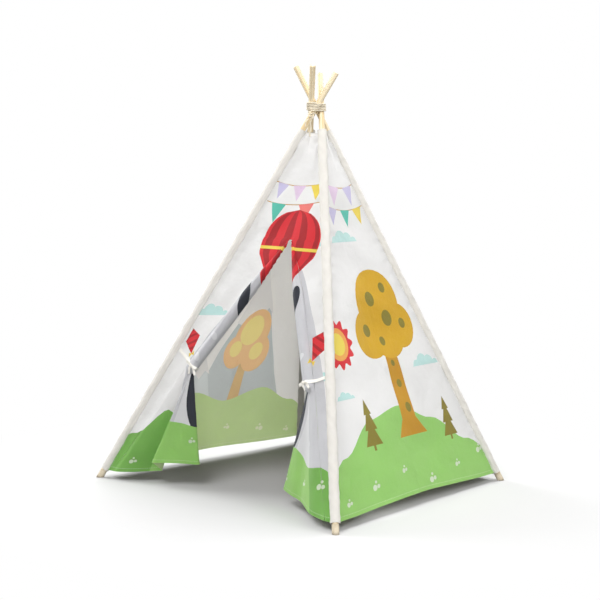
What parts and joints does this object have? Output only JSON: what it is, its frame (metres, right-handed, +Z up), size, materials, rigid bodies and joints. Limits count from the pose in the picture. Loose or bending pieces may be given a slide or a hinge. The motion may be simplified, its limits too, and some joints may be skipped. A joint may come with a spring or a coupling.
{
  "type": "kids teepee",
  "caption": "Canvas play tent on jointed wooden poles lashed near the top; the frame gathers and the tied-back door flaps swing.",
  "frame": {"origin": "middle of the base on the floor", "axes": "+Z up, the door faces -Y, +X to the right of someone who stands inside and looks at the back wall"},
  "size_m": [1.2178, 1.1226, 1.5958],
  "materials": {
    "pine": "planed and lightly sanded",
    "ferrule": "drawn tube",
    "foot": "matt",
    "sleeve": "plain cotton canvas",
    "canvas": "printed cotton canvas",
    "ribbon": "cotton tape",
    "rope": "twisted cotton cord"
  },
  "bodies": {
    "crown": {"lashing_rope": "rope", "lashing_knot": "rope", "rope_tail_long": "rope", "rope_tail_short": "rope"},
    "pole_front_right": {"pole_front_right_lower": "pine", "pole_front_right_middle": "pine", "pole_front_right_upper": "pine", "ferrule_front_right_lower": "ferrule", "ferrule_front_right_upper": "ferrule", "foot_front_right": "foot", "sleeve_front_right": "sleeve", "right_wall_front": "canvas", "front_wall_right": "canvas", "right_ribbon": "ribbon", "right_bow_tails": "ribbon", "right_bow": "ribbon", "right_bow_knot": "ribbon"},
    "pole_back_right": {"pole_back_right_lower": "pine", "pole_back_right_middle": "pine", "pole_back_right_upper": "pine", "ferrule_back_right_lower": "ferrule", "ferrule_back_right_upper": "ferrule", "foot_back_right": "foot", "sleeve_back_right": "sleeve", "right_wall_back": "canvas", "back_wall_right": "canvas"},
    "pole_back_left": {"pole_back_left_lower": "pine", "pole_back_left_middle": "pine", "pole_back_left_upper": "pine", "ferrule_back_left_lower": "ferrule", "ferrule_back_left_upper": "ferrule", "foot_back_left": "foot", "sleeve_back_left": "sleeve", "back_wall_left": "canvas", "left_wall_back": "canvas"},
    "pole_front_left": {"pole_front_left_lower": "pine", "pole_front_left_middle": "pine", "pole_front_left_upper": "pine", "ferrule_front_left_lower": "ferrule", "ferrule_front_left_upper": "ferrule", "foot_front_left": "foot", "sleeve_front_left": "sleeve", "left_wall_front": "canvas", "front_wall_left": "canvas", "left_ribbon": "ribbon", "left_bow_tails": "ribbon", "left_bow": "ribbon", "left_bow_knot": "ribbon"},
    "flap_left": {"left_flap": "canvas"},
    "flap_right": {"right_flap": "canvas"}
  },
  "joints": [
    {"name": "fold_front_right", "type": "hinge", "parent": "crown", "child": "pole_front_right", "pos_m": [0, 0, 1.44], "axis": [0.6942, 0.7198, 0], "range_deg": [0, 21.2], "deforming": ["right_wall_front", "front_wall_right", "right_ribbon", "right_bow_tails", "right_bow", "right_bow_knot"]},
    {"name": "fold_back_right", "type": "hinge", "parent": "crown", "child": "pole_back_right", "pos_m": [0, 0, 1.44], "axis": [-0.7026, 0.7116, 0], "range_deg": [0, 19.72], "deforming": ["right_wall_back", "back_wall_right"]},
    {"name": "fold_back_left", "type": "hinge", "parent": "crown", "child": "pole_back_left", "pos_m": [0, 0, 1.44], "axis": [-0.7373, -0.6756, 0], "range_deg": [0, 19.72], "deforming": ["back_wall_left", "left_wall_back"]},
    {"name": "fold_front_left", "type": "hinge", "parent": "crown", "child": "pole_front_left", "pos_m": [0, 0, 1.44], "axis": [0.6596, -0.7516, 0], "range_deg": [0, 21.2], "deforming": ["left_wall_front", "front_wall_left", "left_ribbon", "left_bow_tails", "left_bow", "left_bow_knot"]},
    {"name": "swing_left_flap", "type": "hinge", "parent": "pole_front_left", "child": "flap_left", "pos_m": [0.0463, -0.18878, 0.944], "axis": [0.5105, 0.3046, 0.8041], "range_deg": [-40, 0], "deforming": ["left_flap"]},
    {"name": "swing_right_flap", "type": "hinge", "parent": "pole_front_right", "child": "flap_right", "pos_m": [0.0577, -0.18878, 0.944], "axis": [0.4386, -0.3178, -0.8406], "range_deg": [-40, 0], "deforming": ["right_flap"]}
  ],
  "couplings": [
    {"joint": "fold_back_right", "follows": "fold_front_right", "ratio": 0.93007},
    {"joint": "fold_back_left", "follows": "fold_front_right", "ratio": 0.93007},
    {"joint": "fold_front_left", "follows": "fold_front_right", "ratio": 1}
  ]
}
